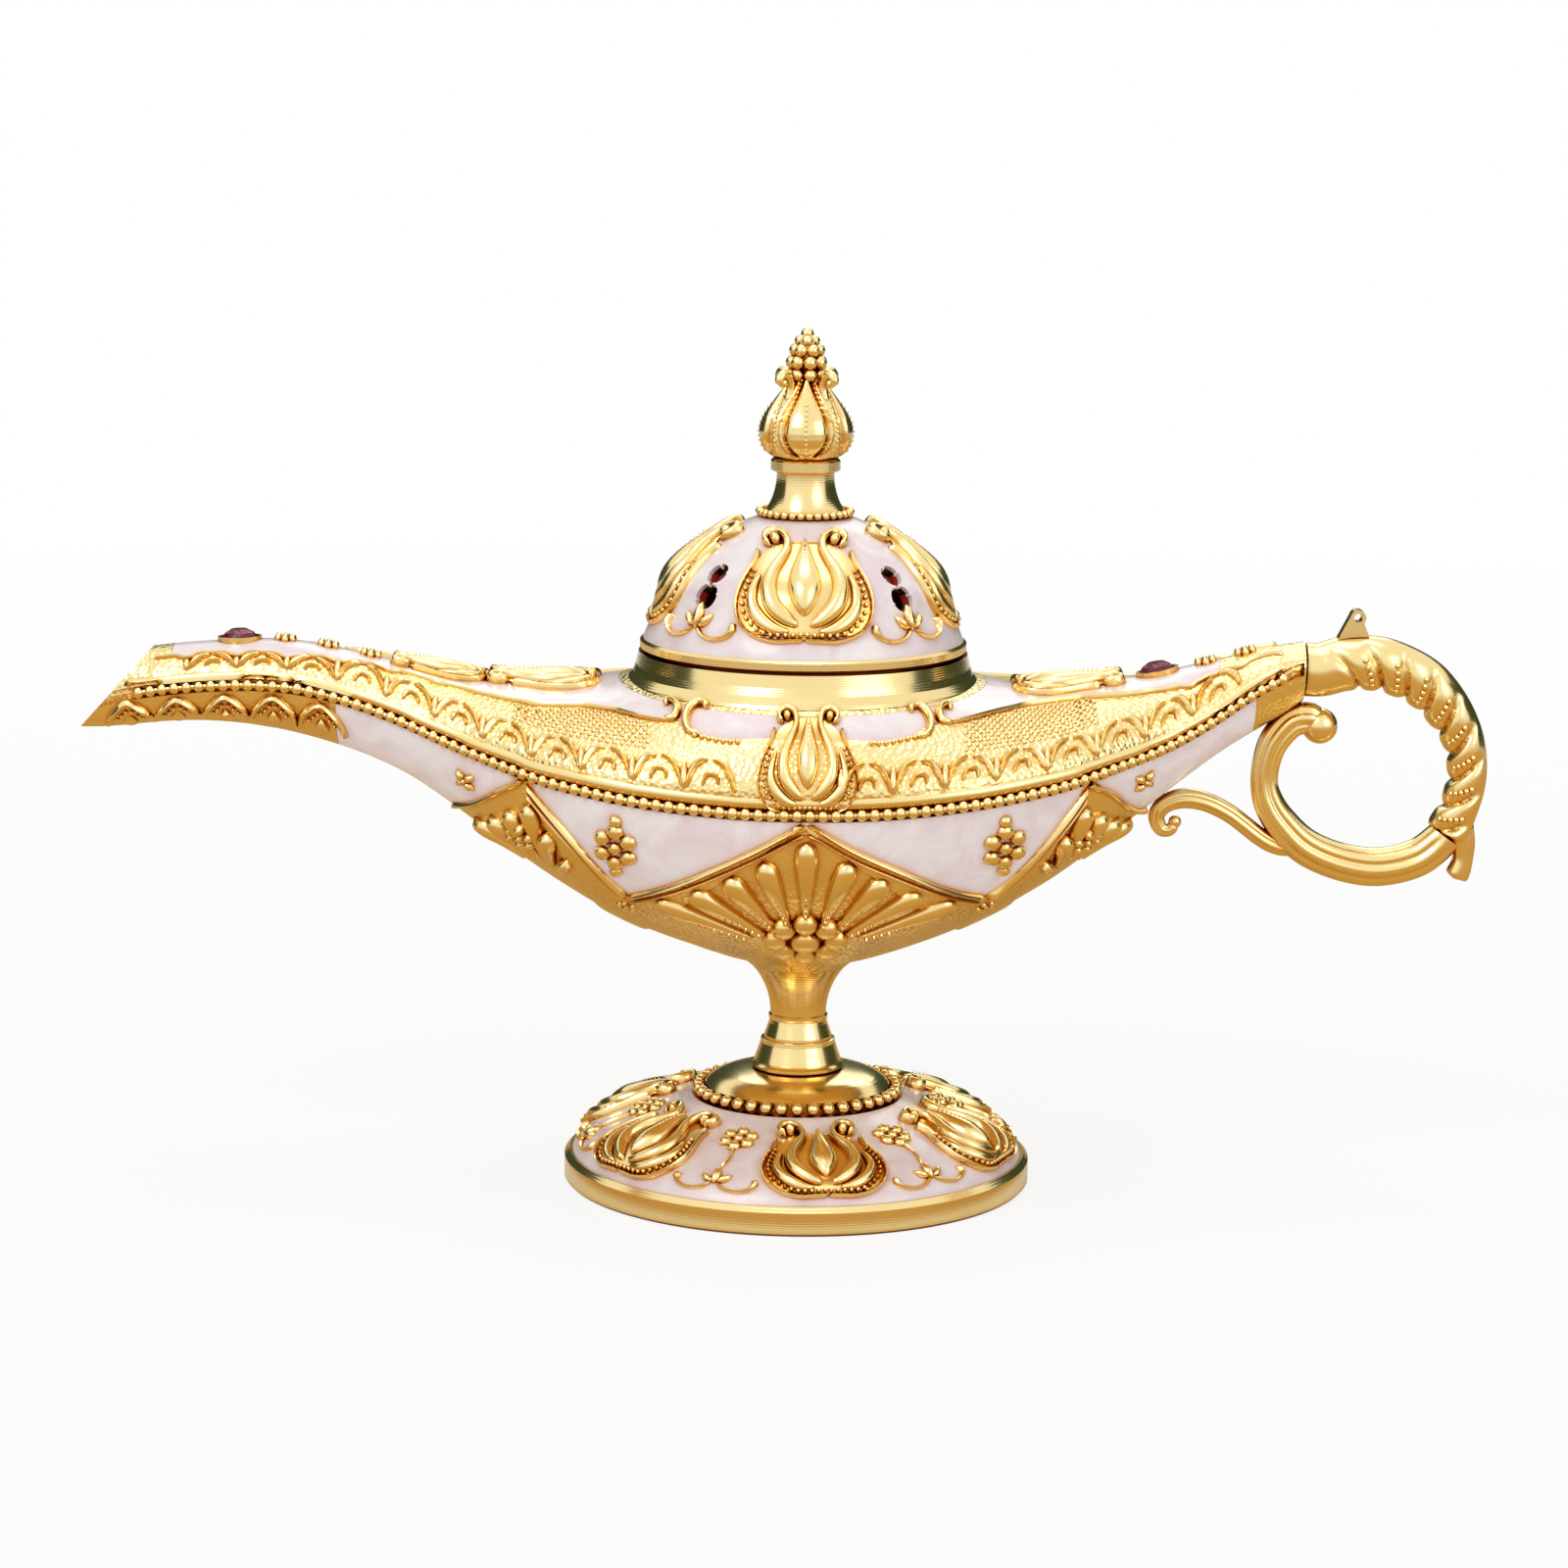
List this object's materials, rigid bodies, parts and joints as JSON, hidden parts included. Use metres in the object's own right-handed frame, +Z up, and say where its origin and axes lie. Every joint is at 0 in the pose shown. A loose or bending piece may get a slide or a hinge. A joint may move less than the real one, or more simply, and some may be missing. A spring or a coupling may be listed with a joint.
{
  "type": "genie oil lamp",
  "caption": "Ornate genie oil lamp with a boat-shaped bowl, long open spout, scrolled handle, turned stem, round foot and a pierced dome lid that lifts off",
  "frame": {"origin": "centre of the foot's flat underside, on the axis of the stem, the neck and the lid", "axes": "+X points to the handle, -X to the spout, +Y to the lamp's far side and +Z up"},
  "size_m": [0.2154, 0.072, 0.1318],
  "materials": {
    "gold_plate": "bright pale gold plating on a zinc-alloy casting, polished on the plain bands",
    "pearl_enamel": "pale pink pearl enamel, softly glossy",
    "ruby_glass": "dark red glass stone",
    "zinc_steel": "zinc-plated steel, assumed for the hidden fasteners"
  },
  "bodies": {
    "lamp": {"foot_casting": "gold_plate", "foot_beads": "gold_plate", "stem_collar": "gold_plate", "stem_cup": "gold_plate", "hull_shell": "gold_plate", "deck_shell": "gold_plate", "seam_moulding": "gold_plate", "neck_ring": "gold_plate", "handle_arc": "gold_plate", "handle_leaf": "gold_plate", "handle_scroll": "gold_plate", "handle_brace": "gold_plate", "handle_lug": "gold_plate", "spout_gem_bezel": "gold_plate", "tail_gem_bezel": "gold_plate", "foot_enamel": "pearl_enamel", "hull_enamel": "pearl_enamel", "deck_enamel": "pearl_enamel", "spout_gem": "ruby_glass", "tail_gem": "ruby_glass", "tie_rod": "zinc_steel", "tie_washer": "zinc_steel", "tie_nut": "zinc_steel"},
    "lid": {"lid_rim": "gold_plate", "lid_locating_ring": "gold_plate", "lid_dome": "gold_plate", "lid_enamel": "pearl_enamel", "finial_neck": "gold_plate", "finial_beads": "gold_plate", "finial_bulb": "gold_plate", "finial_cluster": "gold_plate", "finial_stud": "zinc_steel", "finial_nut": "zinc_steel"}
  },
  "joints": [
    {"name": "lid_lift", "type": "slide", "parent": "lamp", "child": "lid", "axis": [0, 0, 1], "range_m": [0, 0.06]}
  ]
}
